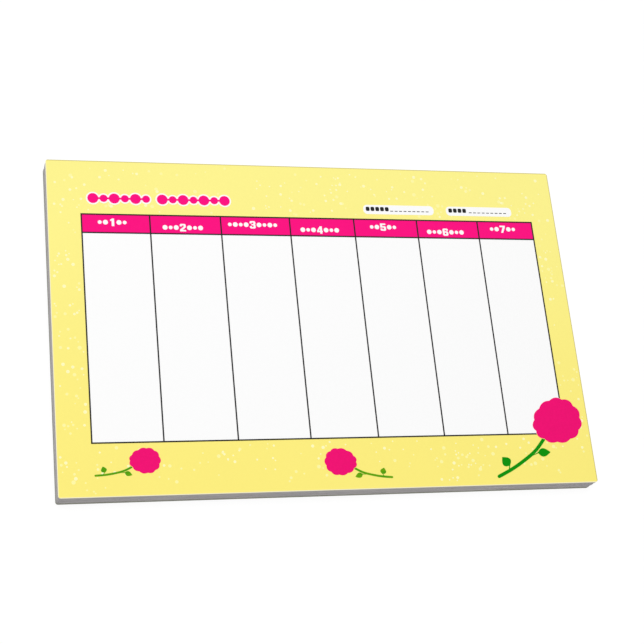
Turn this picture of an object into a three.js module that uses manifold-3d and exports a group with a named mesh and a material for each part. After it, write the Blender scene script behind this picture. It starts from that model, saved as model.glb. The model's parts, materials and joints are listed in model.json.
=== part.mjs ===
// Weekly planner pad: a glued block of printed sheets on a stiff grey board, lying face up.
// Units are millimetres. +X runs along the long edge, +Y points to the glued edge and +Z is up.
// The origin is the middle of the footprint, on the surface that the pad lies on.
// The print on the top sheet is made of thin films in three layers: colour fields, then lines
// and shapes on the fields, then the title's pink beads on their white outline.

import * as THREE from 'three';
import { mergeVertices } from 'three/addons/utils/BufferGeometryUtils.js';
import Module from 'manifold-3d';

const wasm = await Module();
wasm.setup();

// Sheets, board and glue
const sheetWidth = 330;
const sheetDepth = 210;
const sheetCount = 100;
const sheetCaliper = 0.115;
const boardThickness = 3;
const cornerRadius = 1.5;
const glueThickness = 0.5;
const glueSetback = 0.5; // from the block's face and from the board's underside

// Print films
const filmThickness = 0.125;
const clearance = 0.3; // between two films of one layer that meet

// Ruled grid: its margins run from the sheet's edges to the middle of the frame line
const gridLeftMargin = 20.2;
const gridRightMargin = 16.8;
const gridTopMargin = 35.7;
const gridBottomMargin = 31.5;
const headerHeight = 12.1;
const columnShares = [41.5, 44, 44, 42, 42, 41.5, 38];
const frameLine = 0.85;
const innerLine = 0.85;

// Day numerals in the header, set high and low by turns
const numeralHeight = 5;
const numeralWidth = 3.7;
const numeralHigh = 0.85; // above the header's middle
const numeralLow = -1.9;
const numeralShift = -1.9; // left of the column's middle

// Title: two rows of large and small beads on a string, over a white outline
const titleLeft = 24.4;
const titleRise = 10.6; // from the top of the grid to the middle of the row
const titleRowGap = 4.3;
const largeBead = 6.6;
const smallBead = 4.8;
const beadGap = 0.8;
const stringWidth = 1.2;
const titleOutline = 0.9;
const leftRowBeads = 6;
const rightRowBeads = 7;

// White write-in fields, placed from the sheet's right edge
const fieldHeight = 6.4;
const fieldCorner = 2.6;
const fieldRise = 6.9; // from the top of the grid to the middle of the fields
const monthFieldLength = 47.4;
const weekFieldLength = 45.3;
const weekFieldMargin = 29.8;
const fieldSpacing = 8.5;

// One flower, with the middle of its bloom at the origin and its stem running to the left
const bloomLength = 18.4;
const bloomWidth = 15.4;
const bloomTaper = 0.1;
const scallopCount = 11;
const scallopDepth = 0.07;
const stemWidth = 1.15;
const stemLine = [[-6.5, -2.9], [-12, -5.6], [-17.7, -7], [-23.2, -7.8], [-28.6, -8.1]];
const stemSteps = 16;
const stalkWidth = 0.45;

// The lower leaf's step is counted from the bloom and the upper leaf's from the stem's end
const lowerLeaf = { step: 5, base: [-11.8, -6.7], tip: [-7.7, -8.3], width: 2.6 };
const upperLeaf = { step: 3, base: [-23.3, -6.4], tip: [-24.3, -2.9], width: 3.1 };

// Where the three flowers lie: the first from the left edge, the second from the sheet's middle
// and the third from the grid's right bottom corner, which it covers
const leftFlower = { fromLeft: 50, fromFront: 20.6, scale: 1, turn: 0 };
const middleFlower = { fromMiddle: 1.5, fromFront: 17, scale: 1.09, turn: 2.5 };
const cornerFlower = { pastGridRight: -4.2, aboveGridBottom: 7.9, scale: 1.86, turn: 22.2 };

// Levels
const boardTop = boardThickness;
const blockTop = boardTop + sheetCount * sheetCaliper;
const fieldTop = blockTop + filmThickness;
const markTop = fieldTop + filmThickness;
const beadTop = markTop + filmThickness;

// The middle of each ruled line
const gridLeft = gridLeftMargin;
const gridRight = sheetWidth - gridRightMargin;
const gridTop = sheetDepth - gridTopMargin;
const gridBottom = gridBottomMargin;
const headerBottom = gridTop - headerHeight;
const shareSum = columnShares.reduce((sum, share) => sum + share, 0);
const columnEdges = [gridLeft];
for (const share of columnShares) {
  columnEdges.push(columnEdges.at(-1) + ((gridRight - gridLeft) * share) / shareSum);
}

// Finishes
const finish = (color, roughness) => new THREE.MeshStandardMaterial({ color, roughness, metalness: 0 });
const greyboard = finish(0x96988c, 0.95);
const paperEdge = finish(0xf1f0ec, 0.9);
const clearGlue = finish(0xe4e1d3, 0.5);
const whitePaper = finish(0xfcfcfc, 0.75);
const yellowInk = finish(0xfdee7e, 0.7);
const pinkInk = finish(0xff1482, 0.65);
const bloomInk = finish(0xf30e7a, 0.65);
const greenInk = finish(0x1d9412, 0.65);
const blackInk = finish(0x242424, 0.6);

// Outlines are lists of [x, y] points

const toDegrees = THREE.MathUtils.radToDeg;

function arc(cx, cy, radius, from, to, steps = 6) {
  const points = [];
  for (let i = 0; i <= steps; i += 1) {
    const angle = THREE.MathUtils.degToRad(from + ((to - from) * i) / steps);
    points.push([cx + radius * Math.cos(angle), cy + radius * Math.sin(angle)]);
  }
  return points;
}

function rectangle(left, bottom, right, top) {
  return [[left, bottom], [right, bottom], [right, top], [left, top]];
}

function roundedRectangle(left, bottom, right, top, r) {
  return [
    ...arc(right - r, bottom + r, r, -90, 0),
    ...arc(right - r, top - r, r, 0, 90),
    ...arc(left + r, top - r, r, 90, 180),
    ...arc(left + r, bottom + r, r, 180, 270),
  ];
}

// A point moved along the way from one point to another, and to the left of that way
function shifted([x, y], [fromX, fromY], [toX, toY], along, aside) {
  const length = Math.hypot(toX - fromX, toY - fromY);
  const wayX = (toX - fromX) / length;
  const wayY = (toY - fromY) / length;
  return [x + along * wayX - aside * wayY, y + along * wayY + aside * wayX];
}

// A bloom: an egg whose edge dips inwards between its scallops
function bloomOutline(grow) {
  const steps = scallopCount * 8;
  const points = [];
  for (let i = 0; i < steps; i += 1) {
    const angle = (2 * Math.PI * i) / steps;
    const dip = scallopDepth * (1 - Math.abs(Math.cos((scallopCount * angle) / 2)));
    const x = (bloomLength / 2) * Math.cos(angle) * (1 - dip);
    const y = (bloomWidth / 2) * Math.sin(angle) * (1 - dip) * (1 + bloomTaper * Math.cos(angle));
    const radius = Math.hypot(x, y);
    points.push([x * (1 + grow / radius), y * (1 + grow / radius)]);
  }
  return points;
}

// A leaf's edge, out to its tip on the left side and back on the right. Its half width is half
// a wave that leans to the base, and it starts as wide as its stalk.
function leafEdge({ base, tip, width }) {
  const steps = 8;
  const edge = [];
  for (let i = -steps; i <= steps; i += 1) {
    const t = 1 - Math.abs(i) / steps;
    const halfWidth = (width / 2) * Math.sin(Math.PI * t ** 0.8) + (stalkWidth / 2) * (1 - t);
    const length = Math.hypot(tip[0] - base[0], tip[1] - base[1]);
    edge.push(shifted(base, base, tip, length * t, i < 0 ? halfWidth : -halfWidth));
  }
  return edge;
}

// One side of the stem, going out around its leaf between two of the side's points
function sideWithLeaf(side, leaf) {
  const before = side[leaf.step];
  const after = side[leaf.step + 1];
  const root = [(before[0] + after[0]) / 2, (before[1] + after[1]) / 2];
  return [
    ...side.slice(0, leaf.step + 1),
    shifted(root, before, after, -stalkWidth / 2, 0),
    ...leafEdge(leaf),
    shifted(root, before, after, stalkWidth / 2, 0),
    ...side.slice(leaf.step + 1),
  ];
}

// The stem's outline: down its lower side, round its end and back along its upper side
function stemOutline() {
  const curve = new THREE.SplineCurve(stemLine.map(([x, y]) => new THREE.Vector2(x, y)));
  const path = curve.getPoints(stemSteps).map(({ x, y }) => [x, y]);
  const side = (aside) => path.map((point, i) => {
    const before = path[Math.max(i - 1, 0)];
    const after = path[Math.min(i + 1, stemSteps)];
    return shifted(point, before, after, 0, aside);
  });
  const end = path.at(-1);
  const along = toDegrees(Math.atan2(end[1] - path.at(-2)[1], end[0] - path.at(-2)[0]));
  return [
    ...sideWithLeaf(side(stemWidth / 2), lowerLeaf),
    ...arc(end[0], end[1], stemWidth / 2, along + 90, along - 90),
    ...sideWithLeaf(side(-stemWidth / 2).reverse(), upperLeaf),
  ];
}

// Solids

// An upright prism between two levels. Points that repeat the one before them are left out.
function prism(outline, bottom, top) {
  const points = outline.filter(([x, y], i) => {
    const [lastX, lastY] = outline.at(i - 1);
    return Math.hypot(x - lastX, y - lastY) > 1e-6;
  });
  const shape = new THREE.Shape(points.map(([x, y]) => new THREE.Vector2(x, y)));
  const geometry = new THREE.ExtrudeGeometry(shape, { depth: 1, bevelEnabled: false });
  const position = geometry.getAttribute('position');
  for (let i = 0; i < position.count; i += 1) {
    position.setZ(i, position.getZ(i) > 0.5 ? top : bottom);
  }
  geometry.computeVertexNormals();
  return geometry;
}

function toSolid(geometry) {
  const bare = geometry.clone();
  bare.deleteAttribute('normal');
  bare.deleteAttribute('uv');
  const merged = mergeVertices(bare);
  return new wasm.Manifold(new wasm.Mesh({
    numProp: 3,
    vertProperties: merged.getAttribute('position').array,
    triVerts: new Uint32Array(merged.getIndex().array),
  }));
}

// A film less the outlines that are cut through it
function cutFilm(film, outlines) {
  const cutterTop = beadTop + filmThickness;
  const cutters = outlines.map((outline) => toSolid(prism(outline, boardTop, cutterTop)));
  const mesh = cutters.reduce((left, cutter) => left.subtract(cutter), toSolid(film)).getMesh();
  const geometry = new THREE.BufferGeometry();
  geometry.setAttribute('position', new THREE.BufferAttribute(new Float32Array(mesh.vertProperties), 3));
  geometry.setIndex(new THREE.BufferAttribute(new Uint32Array(mesh.triVerts), 1));
  const faceted = geometry.toNonIndexed();
  faceted.computeVertexNormals();
  return faceted;
}

// Model: everything is laid out from the pad's front left corner

const pad = new THREE.Group();
const layout = new THREE.Group();
layout.position.set(-sheetWidth / 2, -(sheetDepth + glueThickness) / 2, 0);
pad.add(layout);

function place(name, geometry, material) {
  const mesh = new THREE.Mesh(geometry, material);
  mesh.name = name;
  layout.add(mesh);
}

// Board, sheets and the glue along their back edge

const sheetOutline = roundedRectangle(0, 0, sheetWidth, sheetDepth, cornerRadius);
place('backing_board', prism(sheetOutline, 0, boardTop), greyboard);
place('sheet_block', prism(sheetOutline, boardTop, blockTop), paperEdge);

const glueBack = sheetDepth + glueThickness;
const glueOutline = rectangle(cornerRadius, sheetDepth, sheetWidth - cornerRadius, glueBack);
place('binding_glue', prism(glueOutline, glueSetback, blockTop - glueSetback), clearGlue);

// Colour fields: each one stops half a clearance short of the middle of the ruled line over it

const fieldInset = clearance / 2;
const borderWindow = rectangle(
  gridLeft - fieldInset,
  gridBottom - fieldInset,
  gridRight + fieldInset,
  gridTop + fieldInset,
);
place('yellow_border', cutFilm(prism(sheetOutline, blockTop, fieldTop), [borderWindow]), yellowInk);

function innerField(bottom, top) {
  const left = gridLeft + fieldInset;
  const right = gridRight - fieldInset;
  return prism(rectangle(left, bottom + fieldInset, right, top - fieldInset), blockTop, fieldTop);
}
place('header_band', innerField(headerBottom, gridTop), pinkInk);
place('writing_field', innerField(gridBottom, headerBottom), whitePaper);

// Flowers: one design, scaled, turned and mirrored

const flowers = {
  left: { ...leftFlower, x: leftFlower.fromLeft, y: leftFlower.fromFront, mirror: 1 },
  middle: {
    ...middleFlower,
    x: sheetWidth / 2 + middleFlower.fromMiddle,
    y: middleFlower.fromFront,
    mirror: -1,
  },
  corner: {
    ...cornerFlower,
    x: gridRight + cornerFlower.pastGridRight,
    y: gridBottom + cornerFlower.aboveGridBottom,
    mirror: 1,
  },
};

function onSheet(flower, outline) {
  const turn = THREE.MathUtils.degToRad(flower.turn);
  return outline.map(([x, y]) => {
    const turnedX = x * Math.cos(turn) - y * Math.sin(turn);
    const turnedY = x * Math.sin(turn) + y * Math.cos(turn);
    return [flower.x + flower.mirror * flower.scale * turnedX, flower.y + flower.scale * turnedY];
  });
}

// The bloom's outline with the clearance that its neighbours keep
function bloomSpace(flower) {
  return onSheet(flower, bloomOutline(clearance / flower.scale));
}

for (const [name, flower] of Object.entries(flowers)) {
  const bloom = prism(onSheet(flower, bloomOutline(0)), fieldTop, markTop);
  const stem = prism(onSheet(flower, stemOutline()), fieldTop, markTop);
  place(`blossom_${name}`, bloom, bloomInk);
  place(`stem_${name}`, cutFilm(stem, [bloomSpace(flower)]), greenInk);
}

// Ruling: one film, open at each cell of the header and of the columns, and cut back around
// the corner flower

function ruledCells() {
  const cells = [];
  for (let i = 1; i < columnEdges.length; i += 1) {
    const isFirst = i === 1;
    const isLast = i === columnEdges.length - 1;
    const left = columnEdges[i - 1] + (isFirst ? frameLine : innerLine) / 2;
    const right = columnEdges[i] - (isLast ? frameLine : innerLine) / 2;
    cells.push(rectangle(left, headerBottom + innerLine / 2, right, gridTop - frameLine / 2));
    cells.push(rectangle(left, gridBottom + frameLine / 2, right, headerBottom - innerLine / 2));
  }
  return cells;
}
const rulingOutline = rectangle(
  gridLeft - frameLine / 2,
  gridBottom - frameLine / 2,
  gridRight + frameLine / 2,
  gridTop + frameLine / 2,
);
const rulingFilm = prism(rulingOutline, fieldTop, markTop);
place('ruling', cutFilm(rulingFilm, [...ruledCells(), bloomSpace(flowers.corner)]), blackInk);

// Day numerals: block figures for 1 to 7 in a unit square, two of them with a hole

const numeralShapes = [
  { outline: [[0.3, 0], [0.72, 0], [0.72, 1], [0.42, 1], [0.08, 0.84], [0.08, 0.66], [0.3, 0.72]] },
  {
    outline: [
      [0, 0], [1, 0], [1, 0.2], [0.46, 0.2], [1, 0.55], [1, 0.87], [0.84, 1], [0.16, 1],
      [0, 0.87], [0, 0.67], [0.36, 0.67], [0.36, 0.8], [0.64, 0.8], [0.64, 0.62], [0, 0.24],
    ],
  },
  {
    outline: [
      [0.16, 0], [0.84, 0], [1, 0.13], [1, 0.42], [0.9, 0.51], [1, 0.6], [1, 0.87], [0.84, 1],
      [0.16, 1], [0, 0.87], [0, 0.68], [0.36, 0.68], [0.36, 0.8], [0.64, 0.8], [0.64, 0.6], [0.3, 0.6],
      [0.3, 0.42], [0.64, 0.42], [0.64, 0.2], [0.36, 0.2], [0.36, 0.32], [0, 0.32], [0, 0.13],
    ],
  },
  {
    outline: [
      [0.54, 0], [0.9, 0], [0.9, 0.2], [1, 0.2], [1, 0.4], [0.9, 0.4],
      [0.9, 1], [0.52, 1], [0, 0.4], [0, 0.2], [0.54, 0.2],
    ],
    hole: [[0.3, 0.4], [0.54, 0.4], [0.54, 0.68]],
  },
  {
    outline: [
      [0.16, 0], [0.84, 0], [1, 0.13], [1, 0.5], [0.84, 0.63], [0.36, 0.63],
      [0.36, 0.8], [0.96, 0.8], [0.96, 1], [0, 1], [0, 0.43], [0.64, 0.43],
      [0.64, 0.2], [0.36, 0.2], [0.36, 0.31], [0, 0.31], [0, 0.13],
    ],
  },
  {
    outline: [
      [0.16, 0], [0.84, 0], [1, 0.13], [1, 0.49], [0.84, 0.62], [0.36, 0.62], [0.36, 0.8], [0.64, 0.8],
      [0.64, 0.71], [1, 0.71], [1, 0.87], [0.84, 1], [0.16, 1], [0, 0.87], [0, 0.13],
    ],
    hole: [[0.36, 0.2], [0.64, 0.2], [0.64, 0.43], [0.36, 0.43]],
  },
  { outline: [[0.16, 0], [0.54, 0], [1, 0.78], [1, 1], [0, 1], [0, 0.79], [0.58, 0.79]] },
];

function numeral({ outline, hole = [] }, cx, cy) {
  const sized = ([x, y]) => [cx + (x - 0.5) * numeralWidth, cy + (y - 0.5) * numeralHeight];
  const film = prism(outline.map(sized), fieldTop, markTop);
  return hole.length > 0 ? cutFilm(film, [hole.map(sized)]) : film;
}

const headerMiddle = (headerBottom + gridTop) / 2;
numeralShapes.forEach((shape, i) => {
  const columnMiddle = (columnEdges[i] + columnEdges[i + 1]) / 2;
  const rise = i % 2 === 0 ? numeralHigh : numeralLow;
  const figure = numeral(shape, columnMiddle + numeralShift, headerMiddle + rise);
  place(`day_number_${i + 1}`, figure, whitePaper);
});

// Title rows: large and small beads by turns, joined by their string

function beadWidth(index) {
  return index % 2 === 0 ? largeBead : smallBead;
}

function rowLength(count) {
  let length = (count - 1) * beadGap;
  for (let i = 0; i < count; i += 1) {
    length += beadWidth(i);
  }
  return length;
}

// Where the arc of one bead starts, in degrees above the row's middle. On an inner side it
// stops at the string or halfway to the next bead, and an outer side is whole.
function arcStart(radius, reach, string, isOuter) {
  const atReach = toDegrees(Math.acos(Math.min(1, reach / radius)));
  const atString = toDegrees(Math.asin(Math.min(1, string / radius)));
  return isOuter ? 0 : Math.max(atReach, atString);
}

// The same row serves for the beads and, grown by the outline's width, for the white behind them
function rowOutline(left, cy, count, grow) {
  const upper = [];
  const string = stringWidth / 2 + grow;
  let beadLeft = left;
  for (let i = 0; i < count; i += 1) {
    const radius = beadWidth(i) / 2 + grow;
    const reach = (beadWidth(i) + beadGap) / 2;
    const start = 180 - arcStart(radius, reach, string, i === 0);
    const end = arcStart(radius, reach, string, i === count - 1);
    upper.push(...arc(beadLeft + beadWidth(i) / 2, 0, radius, start, end, 16));
    beadLeft += beadWidth(i) + beadGap;
  }
  const lower = upper.map(([x, y]) => [x, cy - y]).reverse();
  return [...upper.map(([x, y]) => [x, cy + y]), ...lower];
}

const titleMiddle = gridTop + titleRise;
const titleRows = {
  left: { start: titleLeft, count: leftRowBeads },
  right: { start: titleLeft + rowLength(leftRowBeads) + titleRowGap, count: rightRowBeads },
};
for (const [name, { start, count }] of Object.entries(titleRows)) {
  const outline = prism(rowOutline(start, titleMiddle, count, titleOutline), fieldTop, markTop);
  const beads = prism(rowOutline(start, titleMiddle, count, 0), markTop, beadTop);
  place(`title_outline_${name}`, outline, whitePaper);
  place(`title_beads_${name}`, beads, pinkInk);
}

// Write-in fields

const weekRight = sheetWidth - weekFieldMargin;
const monthRight = weekRight - weekFieldLength - fieldSpacing;
const fieldBottom = gridTop + fieldRise - fieldHeight / 2;

function writeInField(right, length) {
  const top = fieldBottom + fieldHeight;
  const outline = roundedRectangle(right - length, fieldBottom, right, top, fieldCorner);
  return prism(outline, fieldTop, markTop);
}
place('month_field', writeInField(monthRight, monthFieldLength), whitePaper);
place('week_field', writeInField(weekRight, weekFieldLength), whitePaper);

export default pad;
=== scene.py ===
"""Looks for a weekly planner pad: printed sheets, their cut edges, greyboard and padding glue.

The frame's print films keep their meshes and take paper and ink finishes. The block of sheets,
the board and the glue are shown by finer meshes, and the smallest print is added on the films:
speckle on the border, beads beside the day numerals, and blocks and dashes in the two fields.
Lengths are in metres, and a size given in millimetres is multiplied by MM.
"""

import json
import logging
from dataclasses import dataclass
from enum import Enum
from math import radians

import bpy
import numpy as np
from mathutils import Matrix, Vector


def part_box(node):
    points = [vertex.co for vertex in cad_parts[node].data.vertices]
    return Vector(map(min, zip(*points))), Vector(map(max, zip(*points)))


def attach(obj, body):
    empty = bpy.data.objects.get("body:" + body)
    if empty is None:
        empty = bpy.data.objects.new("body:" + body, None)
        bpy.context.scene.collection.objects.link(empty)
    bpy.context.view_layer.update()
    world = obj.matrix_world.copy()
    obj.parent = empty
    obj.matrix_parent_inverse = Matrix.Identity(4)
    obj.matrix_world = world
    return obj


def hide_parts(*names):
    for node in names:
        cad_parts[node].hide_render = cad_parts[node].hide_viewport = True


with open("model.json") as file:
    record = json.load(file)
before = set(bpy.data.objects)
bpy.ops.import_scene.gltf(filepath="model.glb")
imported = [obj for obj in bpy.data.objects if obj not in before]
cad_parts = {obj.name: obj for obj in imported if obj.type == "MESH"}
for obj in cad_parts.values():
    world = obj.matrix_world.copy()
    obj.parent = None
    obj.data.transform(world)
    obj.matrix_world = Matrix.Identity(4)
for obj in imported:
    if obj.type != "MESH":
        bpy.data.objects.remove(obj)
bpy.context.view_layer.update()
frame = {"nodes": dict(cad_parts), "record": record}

MM = 0.001
BODY = "root"
Colour = tuple[float, float, float]
Solids = tuple[np.ndarray, list[np.ndarray]]
WHITE: Colour = (1.0, 1.0, 1.0)
log = logging.getLogger("planner_pad")


class Slot(Enum):
    """The record's material slots."""

    GREYBOARD = "greyboard"
    SHEET_EDGE = "sheet_edge"
    PADDING_GLUE = "padding_glue"
    WHITE_PAPER = "white_paper"
    YELLOW_PRINT = "yellow_print"
    PINK_PRINT = "pink_print"
    BLOOM_PRINT = "bloom_print"
    GREEN_PRINT = "green_print"
    BLACK_PRINT = "black_print"


def linear(red: int, green: int, blue: int) -> Colour:
    """Turns a colour as it is seen into a shader's numbers.

    Args:
        red: the red part, from 0 to 255.
        green: the green part, from 0 to 255.
        blue: the blue part, from 0 to 255.

    Returns:
        The same colour on the linear scale, from 0 to 1.
    """
    share = np.array([red, green, blue]) / 255
    curve = np.where(share <= 0.04045, share / 12.92, ((share + 0.055) / 1.055) ** 2.4)
    return tuple(float(value) for value in curve)


# Shader maths


class Wire:
    """One output in a node tree. Arithmetic on wires adds the nodes that work it out."""

    def __init__(self, nodes: "Nodes", socket: bpy.types.NodeSocket) -> None:
        """Keeps the tree's builder and the socket that the value comes from."""
        self.nodes = nodes
        self.socket = socket

    def _work_out(self, operation: str, first: "Value", second: "Value") -> "Wire":
        """Adds the node for one sum or product.

        Args:
            operation: the name that Math and Vector Math both have for it.
            first: the value on the left.
            second: the value on the right.

        Returns:
            The result. It is a vector where either value is a colour or a vector.
        """
        wires = [value for value in (first, second) if isinstance(value, Wire)]
        has_vector = any(isinstance(value, tuple) for value in (first, second))
        has_vector = has_vector or any(wire.socket.type != "VALUE" for wire in wires)
        kind = "ShaderNodeVectorMath" if has_vector else "ShaderNodeMath"
        return self.nodes.node(kind, {"operation": operation}, {0: first, 1: second})

    def __add__(self, other: "Value") -> "Wire":
        """This value plus another."""
        return self._work_out("ADD", self, other)

    def __radd__(self, other: "Value") -> "Wire":
        """Another value plus this one."""
        return self._work_out("ADD", other, self)

    def __sub__(self, other: "Value") -> "Wire":
        """This value less another."""
        return self._work_out("SUBTRACT", self, other)

    def __rsub__(self, other: "Value") -> "Wire":
        """Another value less this one."""
        return self._work_out("SUBTRACT", other, self)

    def __mul__(self, other: "Value") -> "Wire":
        """This value times another."""
        return self._work_out("MULTIPLY", self, other)

    def __rmul__(self, other: "Value") -> "Wire":
        """Another value times this one."""
        return self._work_out("MULTIPLY", other, self)


Value = Wire | float | tuple[float, ...]


class Nodes:
    """Builds one node tree."""

    def __init__(self, tree: bpy.types.NodeTree) -> None:
        """Empties the tree."""
        self.tree = tree
        self.tree.nodes.clear()

    def node(
        self,
        kind: str,
        settings: dict[str, object] | None = None,
        values: dict[str | int, Value] | None = None,
        output: str | int = 0,
    ) -> Wire | None:
        """Adds any node.

        Args:
            kind: the node's type.
            settings: its properties, which are set first.
            values: a wire, a number or a colour for each of its sockets.
            output: the output to go on from.

        Returns:
            That output, or None where the node ends the tree.
        """
        added = self.tree.nodes.new(kind)
        for name, setting in (settings or {}).items():
            setattr(added, name, setting)
        for key, value in (values or {}).items():
            self._feed(added.inputs[key], value)
        return Wire(self, added.outputs[output]) if added.outputs else None

    def _feed(self, socket: bpy.types.NodeSocket, value: Value) -> None:
        """Links a wire to a socket, or sets a constant on the socket itself.

        Args:
            socket: the socket to feed.
            value: the wire or the constant. One number fills all parts of a vector.
        """
        if isinstance(value, Wire):
            self.tree.links.new(value.socket, socket)
        elif socket.type == "VALUE":
            socket.default_value = value
        else:
            numbers = value if isinstance(value, tuple) else (value,) * 3
            socket.default_value = (*numbers, 1.0) if socket.type == "RGBA" else numbers

    def seen_directly(self) -> Wire:
        """Tells what is looked at from what only throws light on surfaces.

        Returns:
            1 for what the camera, a mirror or clear glass shows, and 0 otherwise.
        """
        paths = ("Is Camera Ray", "Is Glossy Ray", "Is Transmission Ray")
        camera, glossy, transmission = (
            self.node("ShaderNodeLightPath", output=path) for path in paths
        )
        return camera + glossy + transmission


class Shader(Nodes):
    """A material's node tree. Its patterns read Object coordinates."""

    def __init__(self, name: str) -> None:
        """Makes the material and its coordinates.

        Args:
            name: the material's name.
        """
        self.material = bpy.data.materials.new(name)
        self.material.use_nodes = True
        super().__init__(self.material.node_tree)
        self.place = self.node("ShaderNodeTexCoord", output="Object")

    def along(self, axis: str) -> Wire:
        """The place along one axis, X, Y or Z."""
        return self.node("ShaderNodeSeparateXYZ", values={"Vector": self.place}, output=axis)

    def noise(
        self, size: float, stretch: tuple[float, float, float] = (1, 1, 1), detail: float = 2
    ) -> Wire:
        """Soft noise from 0 to 1.

        Args:
            size: about how wide one patch is.
            stretch: how many times finer the patches are along each axis.
            detail: how many finer layers are added.

        Returns:
            The noise.
        """
        place = self.place * tuple(finer / size for finer in stretch)
        values = {"Vector": place, "Scale": 1.0, "Detail": detail}
        return self.node("ShaderNodeTexNoise", values=values)

    def flecks(self, spacing: float, size: float) -> Wire:
        """Scattered specks: 1 in a speck and 0 outside it.

        Args:
            spacing: about how far the specks lie from each other.
            size: a speck's radius as a share of the spacing.

        Returns:
            The specks' mask.
        """
        values = {"Vector": self.place * (1 / spacing), "Scale": 1.0}
        return 1 - self.ramp(self.node("ShaderNodeTexVoronoi", values=values), size / 2, size)

    def ramp(self, value: Wire, low: float, high: float) -> Wire:
        """Rises smoothly from 0 where the value is low to 1 where it is high."""
        values = {"Value": value, "From Min": low, "From Max": high}
        return self.node("ShaderNodeMapRange", {"interpolation_type": "SMOOTHSTEP"}, values)

    def blend(self, first: Value, second: Value, share: Wire) -> Wire:
        """Goes from the first colour to the second as the share goes from 0 to 1."""
        values = {"Factor": share, 6: first, 7: second}
        return self.node("ShaderNodeMix", {"data_type": "RGBA"}, values, output=2)

    def surface(
        self, colour: Value, roughness: Value, height: Wire, depth: float, **fixed: float
    ) -> bpy.types.Material:
        """Ends the tree in a Principled surface with a bump.

        Args:
            colour: the base colour.
            roughness: the roughness.
            height: the bump's height, from 0 to 1.
            depth: how deep the bump is.
            fixed: constants for other sockets, with _ for each space in a socket's name.

        Returns:
            The finished material.
        """
        normal = self.node("ShaderNodeBump", values={"Height": height, "Distance": depth})
        values = {"Base Color": colour, "Roughness": roughness, "Normal": normal}
        values |= {name.replace("_", " "): number for name, number in fixed.items()}
        shader = self.node("ShaderNodeBsdfPrincipled", values=values)
        self.node("ShaderNodeOutputMaterial", values={"Surface": shader})
        return self.material


# Finishes


@dataclass(frozen=True)
class PrintedPaper:
    """Uncoated paper, unprinted or under a solid ink that covers it a little unevenly."""

    name: str
    colour: Colour
    mottle: float = 0.05
    patch: float = 1.3 * MM
    patch_share: float = 0.6
    cloud: float = 60 * MM
    grain: float = 0.25 * MM
    grain_depth: float = 0.012 * MM
    roughness: float = 0.78
    smooth_patch: float = 3 * MM
    smooth_change: float = 0.12
    specular: float = 0.12

    def ink(self, shader: Shader) -> Value:
        """The ink's colour where it lies evenly."""
        return self.colour

    def colour_over(self, shader: Shader) -> Value:
        """The ink's colour, a little darker in small patches and in broad clouds.

        Args:
            shader: the material's node tree.

        Returns:
            The colour over the whole surface.
        """
        patches = shader.noise(self.patch, detail=4)
        clouds = shader.noise(self.cloud)
        uneven = patches * self.patch_share + clouds * (1 - self.patch_share)
        return self.ink(shader) * (1 - self.mottle * uneven)

    def material(self) -> bpy.types.Material:
        """Makes the material, with the paper's grain as its bump.

        Returns:
            The finished material.
        """
        shader = Shader(self.name)
        grain = shader.noise(self.grain, detail=3)
        change = self.smooth_change * (shader.noise(self.smooth_patch) - 0.5)
        colour = self.colour_over(shader)
        roughness = self.roughness + change
        fixed = {"Specular_IOR_Level": self.specular}
        return shader.surface(colour, roughness, grain, self.grain_depth, **fixed)


@dataclass(frozen=True)
class TrimmedPrint(PrintedPaper):
    """Print that runs off the sheet.

    The trimmed edge shows a thin line of painted light: a painted highlight on the left and the
    front, where light catches the cut edge, and a painted shade line on the right and the back.
    """

    deep: Colour = linear(255, 240, 127)
    # Painted highlight: the pale line along the left and front edges, where light catches the cut
    # edge.
    painted_highlight: Colour = linear(250, 246, 224)
    # Painted shade: the dark olive line along the right and back edges, turned away from the
    # light.
    painted_shade: Colour = linear(176, 160, 76)
    line_width: float = 0.6 * MM
    line_strength: float = 0.8

    def ink(self, shader: Shader) -> Wire:
        """The ink's colour, which deepens from the back of the sheet to its front.

        Args:
            shader: the material's node tree.

        Returns:
            The ink's colour.
        """
        low, high = corners("yellow_border")
        share = shader.ramp(shader.along("Y"), float(low[1]), float(high[1]))
        return shader.blend(self.deep, self.colour, share)

    def edge_line(self, shader: Shader, side: int) -> Wire:
        """The thin line of painted light along two of the sheet's edges.

        Args:
            shader: the material's node tree.
            side: 1 for the painted shade on the right and back edge, -1 for the painted highlight
                on the left and front.

        Returns:
            The line's strength, and 0 inside it.
        """
        low, high = corners("yellow_border")
        middle, reach = (low + high) / 2, (high - low) / 2
        lines = []
        for axis, name in enumerate("XY"):
            outwards = (shader.along(name) - float(middle[axis])) * side
            edge = float(reach[axis])
            lines.append(shader.ramp(outwards, edge - self.line_width, edge - self.line_width / 3))
        line = shader.node("ShaderNodeMath", {"operation": "MAXIMUM"}, dict(enumerate(lines)))
        return line * self.line_strength

    def colour_over(self, shader: Shader) -> Wire:
        """The ink's colour, with the lines of painted highlight and painted shade along the edges.

        Args:
            shader: the material's node tree.

        Returns:
            The colour over the whole surface.
        """
        # Painted highlight along the left and front edges, painted shade along the right and back
        # edges.
        highlight_share = self.edge_line(shader, -1)
        dark = self.edge_line(shader, 1)
        trimmed = shader.blend(super().colour_over(shader), self.painted_highlight, highlight_share)
        return shader.blend(trimmed, self.painted_shade, dark)


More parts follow.
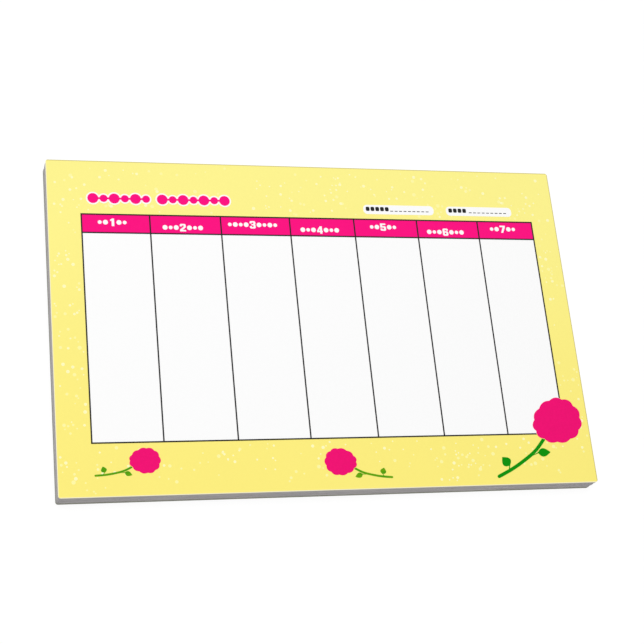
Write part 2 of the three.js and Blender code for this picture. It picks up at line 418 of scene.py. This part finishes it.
@dataclass(frozen=True)
class LeafPrint(PrintedPaper):
    """Green print with an olive tint on the two smaller flowers, and none by the corner."""

    olive: Colour = linear(112, 168, 0)
    tinted_to: float = 55 * MM
    plain_from: float = 85 * MM
    tint: float = 0.45
    patch_tint: float = 0.35
    tint_patch: float = 4 * MM

    def colour_over(self, shader: Shader) -> Wire:
        """The green, going over to olive towards the left and a little more in some patches.

        Args:
            shader: the material's node tree.

        Returns:
            The colour over the whole surface.
        """
        to_left = 1 - shader.ramp(shader.along("X"), self.tinted_to, self.plain_from)
        patches = shader.ramp(shader.noise(self.tint_patch, detail=3), 0.4, 0.6)
        share = to_left * (self.tint + self.patch_tint * patches)
        return shader.blend(super().colour_over(shader), self.olive, share)


@dataclass(frozen=True)
class CutSheetEdges:
    """The cut side of a stack: fine level lines, broader bundles and a painted highlight along the
    top sheets.
    """

    name: str
    colour: Colour
    shadow: Colour
    # Painted highlight: the paler colour of the top sheets' edges, where light catches them.
    pale: Colour
    sheet: float
    top: float
    line_length: float = 14 * MM
    line_sheets: float = 1.7
    line_share: float = 0.6
    bundle_length: float = 40 * MM
    bundle_sheets: float = 9
    highlight_sheets: float = 5
    depth: float = 0.05 * MM
    roughness: float = 0.9
    specular: float = 0.25

    def lines(self, shader: Shader, length: float, sheets: float, detail: float) -> Wire:
        """Level lines: noise that is drawn out to a length and is some sheets high."""
        return shader.noise(length, (1, 1, length / (sheets * self.sheet)), detail)

    def material(self) -> bpy.types.Material:
        """Makes the material from two kinds of level lines.

        Returns:
            The finished material.
        """
        shader = Shader(self.name)
        fine = self.lines(shader, self.line_length, self.line_sheets, detail=3)
        bundles = self.lines(shader, self.bundle_length, self.bundle_sheets, detail=2)
        mixed = fine * self.line_share + bundles * (1 - self.line_share)
        cut = shader.blend(self.shadow, self.colour, shader.ramp(mixed, 0.35, 0.65))
        # Painted highlight: the edges of the top few sheets turn paler, for light catching them.
        highlight_from = self.top - self.highlight_sheets * self.sheet
        top_highlight = shader.ramp(shader.along("Z"), highlight_from, self.top - self.sheet)
        colour = shader.blend(cut, self.pale, top_highlight)
        fixed = {"Specular_IOR_Level": self.specular}
        return shader.surface(colour, self.roughness, fine, self.depth, **fixed)


@dataclass(frozen=True)
class Greyboard:
    """Recycled board: grey pulp with dark and pale fibres, pressed in level plies."""

    name: str
    colour: Colour
    dark: Colour
    pale: Colour
    pulp: float = 4 * MM
    pulp_share: float = 0.6
    grain: float = 0.6 * MM
    dark_spacing: float = 2.3 * MM
    dark_size: float = 0.16
    pale_spacing: float = 3.1 * MM
    pale_size: float = 0.2
    pale_strength: float = 0.7
    depth: float = 0.06 * MM
    roughness: float = 0.94
    specular: float = 0.25

    def material(self) -> bpy.types.Material:
        """Makes the material from a cloudy pulp with two kinds of fibre on it.

        Returns:
            The finished material.
        """
        shader = Shader(self.name)
        pulp = shader.noise(self.pulp, (1, 1, 2.5), detail=6)
        grain = shader.noise(self.grain, (1, 1, 1.8), detail=4)
        mixed = pulp * self.pulp_share + grain * (1 - self.pulp_share)
        cloudy = shader.blend(self.dark, self.colour, shader.ramp(mixed, 0.3, 0.55))
        dark_fibres = shader.flecks(self.dark_spacing, self.dark_size)
        dark_fibres = dark_fibres * shader.ramp(grain, 0.4, 0.6)
        pale_fibres = shader.flecks(self.pale_spacing, self.pale_size)
        pale_fibres = pale_fibres * shader.ramp(pulp, 0.45, 0.6)
        darker = shader.blend(cloudy, self.dark, dark_fibres)
        colour = shader.blend(darker, self.pale, pale_fibres * self.pale_strength)
        fixed = {"Specular_IOR_Level": self.specular}
        return shader.surface(colour, self.roughness, grain, self.depth, **fixed)


@dataclass(frozen=True)
class PaddingGlue:
    """Dried padding glue: a milky film with the sheets' lines showing faintly through it."""

    name: str
    colour: Colour
    thin: Colour
    brush_stroke: float = 8 * MM
    brush_share: float = 0.8
    line_length: float = 12 * MM
    depth: float = 0.15 * MM
    roughness: float = 0.55
    gloss: float = 0.15
    coat: float = 0.15

    def material(self) -> bpy.types.Material:
        """Makes the material, glossier and deeper in colour where the film is thick.

        Returns:
            The finished material.
        """
        shader = Shader(self.name)
        brushed = shader.noise(self.brush_stroke, (0.4, 1, 4), detail=4)
        lines = shader.noise(self.line_length, (1, 1, 50), detail=2)
        mixed = brushed * self.brush_share + lines * (1 - self.brush_share)
        thick = shader.ramp(mixed, 0.35, 0.65)
        colour = shader.blend(self.thin, self.colour, thick)
        roughness = self.roughness - self.gloss * thick
        return shader.surface(colour, roughness, brushed, self.depth, Coat_Weight=self.coat)


# Surfaces


def corners(node: str) -> tuple[np.ndarray, np.ndarray]:
    """The lowest and the highest corner of a node of the frame."""
    low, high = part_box(node)
    return np.array(low), np.array(high)


def rounded_rectangle(
    width: float, depth: float, radius: float, steps: int = 6
) -> tuple[np.ndarray, np.ndarray]:
    """A rounded rectangle round the origin, anticlockwise from its right side.

    Each corner is a quarter circle: the corner's centre plus the radius times the cosine and
    sine of an angle that goes right round the four corners.

    Args:
        width: the size along X.
        depth: the size along Y.
        radius: the corners' radius.
        steps: the number of chords in a corner.

    Returns:
        The points, and the direction outwards at each one.
    """
    quarter = np.linspace(0, np.pi / 2, steps + 1)
    angle = (np.arange(4)[:, None] * np.pi / 2 + quarter).ravel()
    outwards = np.column_stack([np.cos(angle), np.sin(angle)])
    signs = np.repeat([[1, 1], [-1, 1], [-1, -1], [1, -1]], steps + 1, axis=0)
    centres = signs * (np.array([width, depth]) / 2 - radius)
    return centres + radius * outwards, outwards


def closed_solids(rings: np.ndarray) -> Solids:
    """Joins rings of points into closed solids.

    Each point is joined to the next one of its ring and to the same two of the ring above, and
    the first and the last ring of a solid are closed by a flat face.

    Args:
        rings: an array of solids, rings, points and coordinates. Each ring runs anticlockwise
            as seen from the last ring's end.

    Returns:
        The vertices, and the faces in arrays of equal corner counts.
    """
    solids, levels, points, _ = rings.shape
    index = np.arange(solids * levels * points).reshape(solids, levels, points)
    after = np.roll(index, -1, axis=2)
    sides = np.stack([index[:, :-1], after[:, :-1], after[:, 1:], index[:, 1:]], axis=-1)
    return rings.reshape(-1, 3), [sides.reshape(-1, 4), index[:, 0, ::-1], index[:, -1]]


def prisms(
    outlines: np.ndarray, bottom: float | np.ndarray, top: float | np.ndarray
) -> Solids:
    """Upright prisms over outlines in the XY plane.

    Args:
        outlines: an array of prisms, points and two coordinates.
        bottom: the level of their undersides, one number or one for each prism.
        top: the level of their upper sides, in the same way.

    Returns:
        The prisms as closed solids.
    """
    levels = np.stack(np.broadcast_arrays(bottom, top, np.zeros(len(outlines)))[:2], axis=1)
    rings = np.empty((len(outlines), 2, outlines.shape[1], 3))
    rings[..., :2] = outlines[:, None]
    rings[..., 2] = levels[:, :, None]
    return closed_solids(rings)


def discs(centres: np.ndarray, radii: np.ndarray, sides: int) -> np.ndarray:
    """Outlines of round dots: each centre plus its radius times the cosine and sine.

    Args:
        centres: the dots' middles.
        radii: the radius of each one.
        sides: the number of chords round a dot.

    Returns:
        An array of dots, points and two coordinates.
    """
    angle = np.linspace(0, 2 * np.pi, sides, endpoint=False)
    circle = np.column_stack([np.cos(angle), np.sin(angle)])
    return centres[:, None] + radii[:, None, None] * circle


def add_piece(
    name: str, solids: Solids, material: bpy.types.Material, slot: Slot, *replaced: str
) -> None:
    """Makes one piece, which rides on the pad.

    Args:
        name: the piece's name.
        solids: its vertices and faces.
        material: its finish.
        slot: the record's slot for that finish. It is not used.
        replaced: the nodes of the frame that it stands for.
    """
    vertices, groups = solids
    faces = [face for group in groups for face in group.tolist()]
    mesh = bpy.data.meshes.new(name)
    mesh.from_pydata(vertices.tolist(), [], faces)
    mesh.materials.append(material)
    piece = bpy.data.objects.new(name, mesh)
    bpy.context.scene.collection.objects.link(piece)
    if replaced:
        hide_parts(*replaced)
    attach(piece, BODY)
    log.info("%s: %d faces", name, len(faces))


# The pad


@dataclass
class SheetBlock:
    """The sheets, one thin slab each. The guillotine left their cut edges a little uneven."""

    sheets: int = 100
    corner: float = 1.5 * MM
    air: float = 0.004 * MM
    scatter: float = 0.035 * MM
    wander: float = 0.12 * MM
    seed: int = 11

    @property
    def caliper(self) -> float:
        """The thickness of one sheet with the air under it."""
        low, high = corners("sheet_block")
        return float(high[2] - low[2]) / self.sheets

    def insets(self) -> np.ndarray:
        """How far each sheet falls short on its left, right and front side.

        It is a slow wave up the stack, a sine of the sheet's number, plus a random share.

        Returns:
            A row for each sheet and a column for each side.
        """
        rng = np.random.default_rng(self.seed)
        number = np.arange(self.sheets)[:, None] / self.sheets
        wave = 0.5 + 0.5 * np.sin(2 * np.pi * (number * rng.uniform(1.2, 2.4, 3) + rng.random(3)))
        return self.wander * wave + np.abs(rng.normal(0, self.scatter, (self.sheets, 3)))

    def build(self, material: bpy.types.Material) -> None:
        """Makes the block: the sheet's outline, drawn in on three sides by each sheet's insets.

        Args:
            material: the finish of the cut edges.
        """
        low, high = corners("sheet_block")
        width, depth = (high - low)[:2]
        outline, _ = rounded_rectangle(width, depth, self.corner)
        left, right, front = self.insets().T[..., None]
        share = outline / (width, depth) + 0.5
        x = low[0] + left + share[:, 0] * (width - left - right)
        y = low[1] + front + share[:, 1] * (depth - front)
        bottom = low[2] + self.caliper * np.arange(self.sheets)
        solids = prisms(np.stack([x, y], axis=-1), bottom, bottom + self.caliper - self.air)
        add_piece("sheets", solids, material, Slot.SHEET_EDGE, "sheet_block")


@dataclass
class BackingBoard:
    """The greyboard, with its edges a little crushed by the guillotine."""

    corner: float = 1.5 * MM
    crush: float = 0.35 * MM
    steps: int = 5

    def build(self, material: bpy.types.Material) -> None:
        """Makes the board: its outline, drawn in by a quarter circle at the top and the bottom.

        Args:
            material: the board's finish.
        """
        low, high = corners("backing_board")
        width, depth = (high - low)[:2]
        outline, outwards = rounded_rectangle(width, depth, self.corner)
        outline = outline + (low + high)[:2] / 2
        angle = np.linspace(0, np.pi / 2, self.steps)
        inset = self.crush * (1 - np.sin(angle))
        rise = self.crush * (1 - np.cos(angle))
        insets = np.concatenate([inset, inset[::-1]])
        levels = np.concatenate([low[2] + rise, high[2] - rise[::-1]])
        rings = np.empty((1, len(levels), len(outline), 3))
        rings[0, :, :, :2] = outline - insets[:, None, None] * outwards
        rings[0, :, :, 2] = levels[:, None]
        add_piece("board", closed_solids(rings), material, Slot.GREYBOARD, "backing_board")


@dataclass
class BindingGlue:
    """The film of glue brushed along the back of the sheets."""

    stations: int = 180
    arc_points: int = 12
    thinnest: float = 0.45
    flatness: float = 0.3
    ragged: float = 0.5 * MM
    lowest_wave: int = 3
    wave_step: int = 4
    wave_count: int = 7
    seed: int = 4

    def waves(self, rng: np.random.Generator, along: np.ndarray) -> np.ndarray:
        """A random wave: sines of rising frequency, added and then scaled.

        Args:
            rng: where the sines' phases are drawn from.
            along: the stations along the edge, from 0 to 1.

        Returns:
            The wave at each station, from 0 to 1.
        """
        count = self.lowest_wave + self.wave_step * np.arange(self.wave_count)
        phase = rng.uniform(0, 2 * np.pi, len(count))
        total = (np.sin(2 * np.pi * along[:, None] * count + phase) / count**0.5).sum(axis=1)
        return (total - total.min()) / (total.max() - total.min())

    def build(self, material: bpy.types.Material) -> None:
        """Makes the film: a flattened half round, carried along the edge and varied by waves.

        Its height is a cosine, and its thickness a sine to a low power, of one angle.

        Args:
            material: the glue's finish.
        """
        low, high = corners("binding_glue")
        rng = np.random.default_rng(self.seed)
        along = np.linspace(0, 1, self.stations)
        thick = self.thinnest + (1 - self.thinnest) * self.waves(rng, along)
        bottom = low[2] + self.ragged * self.waves(rng, along)
        top = high[2] - self.ragged * self.waves(rng, along)
        angle = np.linspace(0, np.pi, self.arc_points)
        rings = np.empty((1, self.stations, self.arc_points, 3))
        rings[0, :, :, 0] = (low[0] + (high[0] - low[0]) * along)[:, None]
        bulge = np.sin(angle) ** self.flatness
        rings[0, :, :, 1] = low[1] + np.outer((high[1] - low[1]) * thick, bulge)
        share = (1 - np.cos(angle)) / 2
        rings[0, :, :, 2] = bottom[:, None] + np.outer(top - bottom, share)
        add_piece("glue", closed_solids(rings), material, Slot.PADDING_GLUE, "binding_glue")


@dataclass
class Speckle:
    """Small pale dots in loose groups all over the border."""

    name: str
    groups: int
    seed: int
    dots: int = 5
    spread: float = 6 * MM
    smallest: float = 0.9 * MM
    largest: float = 2.2 * MM
    margin: float = 1.8 * MM
    gap: float = 0.1 * MM
    height: float = 0.02 * MM
    sides: int = 12

    def build(self, material: bpy.types.Material) -> None:
        """Makes the dots. Group centres are even over the sheet, and dots normal about them.

        A dot's size grows as the square of an even random number, so most dots are small.

        Args:
            material: the dots' finish.
        """
        low, high = corners("yellow_border")
        rng = np.random.default_rng(self.seed)
        centres = rng.uniform(low[:2], high[:2], (self.groups, 2))
        spots = np.repeat(centres, self.dots, axis=0)
        spots = spots + rng.normal(0, self.spread, spots.shape)
        radii = (self.smallest + (self.largest - self.smallest) * rng.random(len(spots)) ** 2) / 2
        kept = self.on_border(spots) & self.apart(spots, radii)
        outlines = discs(spots[kept], radii[kept], self.sides)
        solids = prisms(outlines, high[2], high[2] + self.height)
        add_piece(self.name, solids, material, Slot.WHITE_PAPER)

    def on_border(self, spots: np.ndarray) -> np.ndarray:
        """Finds the dots that lie on the border.

        Args:
            spots: the dots' middles.

        Returns:
            True for each dot that lies on the sheet and clear of the grid.
        """
        sheet_low, sheet_high = corners("yellow_border")
        grid_low, grid_high = corners("ruling")
        on_sheet = (spots > sheet_low[:2] + self.margin) & (spots < sheet_high[:2] - self.margin)
        near_grid = (spots > grid_low[:2] - self.margin) & (spots < grid_high[:2] + self.margin)
        return on_sheet.all(axis=1) & ~near_grid.all(axis=1)

    def apart(self, spots: np.ndarray, radii: np.ndarray) -> np.ndarray:
        """Finds the dots that don't overlap.

        Args:
            spots: the dots' middles.
            radii: the radius of each one.

        Returns:
            True for each dot that keeps the gap to all the dots before it.
        """
        distance = np.linalg.norm(spots[:, None] - spots, axis=-1)
        touching = distance < radii[:, None] + radii + self.gap
        return ~np.tril(touching, k=-1).any(axis=1)


@dataclass
class HeadingBeads:
    """Rows of white beads to the left and the right of each day's numeral."""

    counts: tuple[int, ...] = (2, 3, 4, 3, 2, 3, 2)
    first: float = 4.1 * MM
    pitch: float = 3.45 * MM
    large: float = 3.1 * MM
    small: float = 2.4 * MM
    height: float = 0.1 * MM
    sides: int = 20

    def build(self, material: bpy.types.Material) -> None:
        """Makes the beads, large and small by turns, going out from each numeral.

        Args:
            material: the beads' finish.
        """
        spots = []
        sizes = []
        for day, count in enumerate(self.counts, start=1):
            low, high = corners(f"day_number_{day}")
            step = np.arange(count)
            out = self.first + self.pitch * step
            offsets = np.concatenate([-out, out])
            middle = (low + high)[:2] / 2
            spots.append(middle + np.column_stack([offsets, np.zeros(2 * count)]))
            sizes.append(np.tile(np.where(step % 2 == 0, self.large, self.small), 2))
        outlines = discs(np.concatenate(spots), np.concatenate(sizes) / 2, self.sides)
        bottom = corners("header_band")[1][2]
        solids = prisms(outlines, bottom, bottom + self.height)
        add_piece("heading_beads", solids, material, Slot.WHITE_PAPER)


@dataclass
class FieldMarks:
    """A row of black blocks and a dashed writing line in one white field."""

    field: str
    blocks: int
    line_start: float
    block_start: float = 1.7 * MM
    block_pitch: float = 3.2 * MM
    block_size: tuple[float, float] = (2.5 * MM, 2.9 * MM)
    block_rise: float = 0.4 * MM
    dashes: int = 9
    dash_pitch: float = 3 * MM
    dash_size: tuple[float, float] = (2 * MM, 0.5 * MM)
    dash_rise: float = -0.9 * MM
    rounding: float = 0.3
    height: float = 0.05 * MM

    def build(self, material: bpy.types.Material) -> None:
        """Makes the blocks and the dashes, from the field's left end.

        Args:
            material: the marks' finish.
        """
        low, high = corners(self.field)
        middle = (low[1] + high[1]) / 2
        blocks = self.row(low[0] + self.block_start, middle + self.block_rise, self.blocks)
        dashes = self.row(
            low[0] + self.line_start,
            middle + self.dash_rise,
            self.dashes,
            self.dash_pitch,
            self.dash_size,
        )
        outlines = np.concatenate([blocks, dashes])
        solids = prisms(outlines, high[2], high[2] + self.height)
        add_piece(f"{self.field}_marks", solids, material, Slot.BLACK_PRINT)

    def row(
        self,
        left: float,
        middle: float,
        count: int,
        pitch: float | None = None,
        size: tuple[float, float] | None = None,
    ) -> np.ndarray:
        """Outlines of rounded marks in a row, blocks unless another pitch and size are given.

        Args:
            left: the left end of the row.
            middle: the level of its middle along Y.
            count: the number of marks.
            pitch: the distance from one mark to the next.
            size: a mark's width and height.

        Returns:
            The outlines.
        """
        pitch = pitch or self.block_pitch
        width, height = size or self.block_size
        mark, _ = rounded_rectangle(width, height, min(width, height) * self.rounding, steps=3)
        x = left + width / 2 + pitch * np.arange(count)
        centres = np.column_stack([x, np.full(count, middle)])
        return centres[:, None] + mark


# Studio


@dataclass(frozen=True)
class StudioCamera:
    """The camera, steeply above the pad's front left side."""

    location: tuple[float, float, float] = (-0.2651, -0.3148, 0.8571)
    turn: tuple[float, float, float] = (22.389, -14.690, -5.603)
    lens: float = 85.84
    sensor: float = 36
    shift: tuple[float, float] = (0.0276, -0.0497)

    def build(self) -> None:
        """Makes the camera and gives it to the scene."""
        data = bpy.data.cameras.new("camera")
        data.lens = self.lens
        data.sensor_width = self.sensor
        data.shift_x, data.shift_y = self.shift
        camera = bpy.data.objects.new("camera", data)
        camera.location = self.location
        camera.rotation_euler = [radians(angle) for angle in self.turn]
        bpy.context.scene.collection.objects.link(camera)
        bpy.context.scene.camera = camera


@dataclass(frozen=True)
class SoftLamp:
    """A square soft lamp that points straight down."""

    name: str
    location: tuple[float, float, float]
    size: float
    power: float

    def build(self) -> None:
        """Makes the lamp."""
        data = bpy.data.lights.new(self.name, "AREA")
        data.energy = self.power
        data.size = self.size
        lamp = bpy.data.objects.new(self.name, data)
        lamp.location = self.location
        bpy.context.scene.collection.objects.link(lamp)


@dataclass(frozen=True)
class Studio:
    """A plain white floor and background, with an even fill of light from all round."""

    floor_size: float = 8.0
    floor_colour: Colour = (0.6, 0.6, 0.6)
    floor_white: float = 0.8
    floor_glow: float = 1.13
    fill: float = 0.45

    def build(self) -> None:
        """Makes the floor and the world."""
        self.make_floor()
        self.make_world()

    def make_floor(self) -> None:
        """A square floor. What sees it directly gets it mixed with white, under its shadow."""
        half = self.floor_size / 2
        mesh = bpy.data.meshes.new("floor")
        square = [(-half, -half, 0), (half, -half, 0), (half, half, 0), (-half, half, 0)]
        mesh.from_pydata(square, [], [(0, 1, 2, 3)])
        shader = Shader("floor")
        matte = shader.node("ShaderNodeBsdfDiffuse", values={"Color": self.floor_colour})
        glow = {"Color": WHITE, "Strength": self.floor_glow}
        white = shader.node("ShaderNodeEmission", values=glow)
        share = shader.seen_directly() * self.floor_white
        mixed = shader.node("ShaderNodeMixShader", values={"Fac": share, 1: matte, 2: white})
        shader.node("ShaderNodeOutputMaterial", values={"Surface": mixed})
        mesh.materials.append(shader.material)
        floor = bpy.data.objects.new("floor", mesh)
        bpy.context.scene.collection.objects.link(floor)

    def make_world(self) -> None:
        """A world that is white where it is seen and gives only the fill elsewhere."""
        world = bpy.data.worlds.new("studio")
        world.use_nodes = True
        nodes = Nodes(world.node_tree)
        light = nodes.node("ShaderNodeBackground", values={"Color": WHITE, "Strength": self.fill})
        white = nodes.node("ShaderNodeBackground", values={"Color": WHITE, "Strength": 1.0})
        values = {"Fac": nodes.seen_directly(), 1: light, 2: white}
        mixed = nodes.node("ShaderNodeMixShader", values=values)
        nodes.node("ShaderNodeOutputWorld", values={"Surface": mixed})
        bpy.context.scene.world = world


def make_finishes(block: SheetBlock) -> dict[Slot, bpy.types.Material]:
    """Makes the material of each slot of the record.

    Args:
        block: the stack of sheets, whose caliper the lines on its cut side follow.

    Returns:
        The materials by slot.
    """
    top = float(corners("sheet_block")[1][2])
    edges = CutSheetEdges(
        "cut_sheet_edges",
        colour=linear(220, 216, 216),
        shadow=linear(190, 187, 188),
        # painted highlight on the top sheets' edges
        pale=linear(246, 244, 232),
        sheet=block.caliper,
        top=top,
    )
    board = Greyboard(
        "greyboard",
        colour=linear(172, 173, 159),
        dark=linear(142, 143, 131),
        pale=linear(204, 204, 193),
    )
    glue = PaddingGlue("padding_glue", colour=linear(228, 225, 211), thin=linear(214, 212, 204))
    finishes = {
        Slot.SHEET_EDGE: edges,
        Slot.GREYBOARD: board,
        Slot.PADDING_GLUE: glue,
        Slot.WHITE_PAPER: PrintedPaper("white_paper", linear(252, 252, 252), mottle=0.012),
        Slot.YELLOW_PRINT: TrimmedPrint("yellow_print", linear(255, 245, 144), mottle=0.05),
        Slot.PINK_PRINT: PrintedPaper("pink_print", linear(255, 8, 130), mottle=0.08),
        Slot.BLOOM_PRINT: PrintedPaper("bloom_print", linear(252, 6, 120), mottle=0.22),
        Slot.GREEN_PRINT: LeafPrint("green_print", linear(0, 148, 0), mottle=0.16),
        Slot.BLACK_PRINT: PrintedPaper("black_print", linear(36, 36, 36), mottle=0.2),
    }
    return {slot: finish.material() for slot, finish in finishes.items()}


def dress_frame(materials: dict[Slot, bpy.types.Material]) -> None:
    """Gives each node of the frame the finish of its slot.

    Args:
        materials: the materials by slot.
    """
    for part in frame["record"]["subparts"]:
        mesh = frame["nodes"][part["node"]].data
        mesh.materials.clear()
        mesh.materials.append(materials[Slot(part["material_slot"])])
        log.info("%s: %s", part["node"], part["material_slot"])


def main() -> None:
    """Builds the pad's pieces and then the studio."""
    logging.basicConfig(level=logging.INFO, format="%(name)s: %(message)s")
    block = SheetBlock()
    materials = make_finishes(block)
    dress_frame(materials)
    block.build(materials[Slot.SHEET_EDGE])
    BackingBoard().build(materials[Slot.GREYBOARD])
    BindingGlue().build(materials[Slot.PADDING_GLUE])
    ivory = PrintedPaper("ivory_speckle", linear(255, 251, 192), mottle=0.02).material()
    cream = PrintedPaper("cream_speckle", linear(255, 248, 166), mottle=0.02).material()
    Speckle("ivory_speckle", groups=190, seed=3, height=0.04 * MM).build(ivory)
    Speckle("cream_speckle", groups=170, seed=8, largest=2.5 * MM).build(cream)
    HeadingBeads().build(materials[Slot.WHITE_PAPER])
    FieldMarks("month_field", blocks=5, line_start=17.9 * MM).build(materials[Slot.BLACK_PRINT])
    FieldMarks("week_field", blocks=4, line_start=15.6 * MM).build(materials[Slot.BLACK_PRINT])
    Studio().build()
    SoftLamp("key", (-0.25, 0.2, 2.2), size=1.2, power=29.7).build()
    StudioCamera().build()
    bpy.context.scene.view_settings.view_transform = "Standard"


if __name__ == "__main__":
    main()
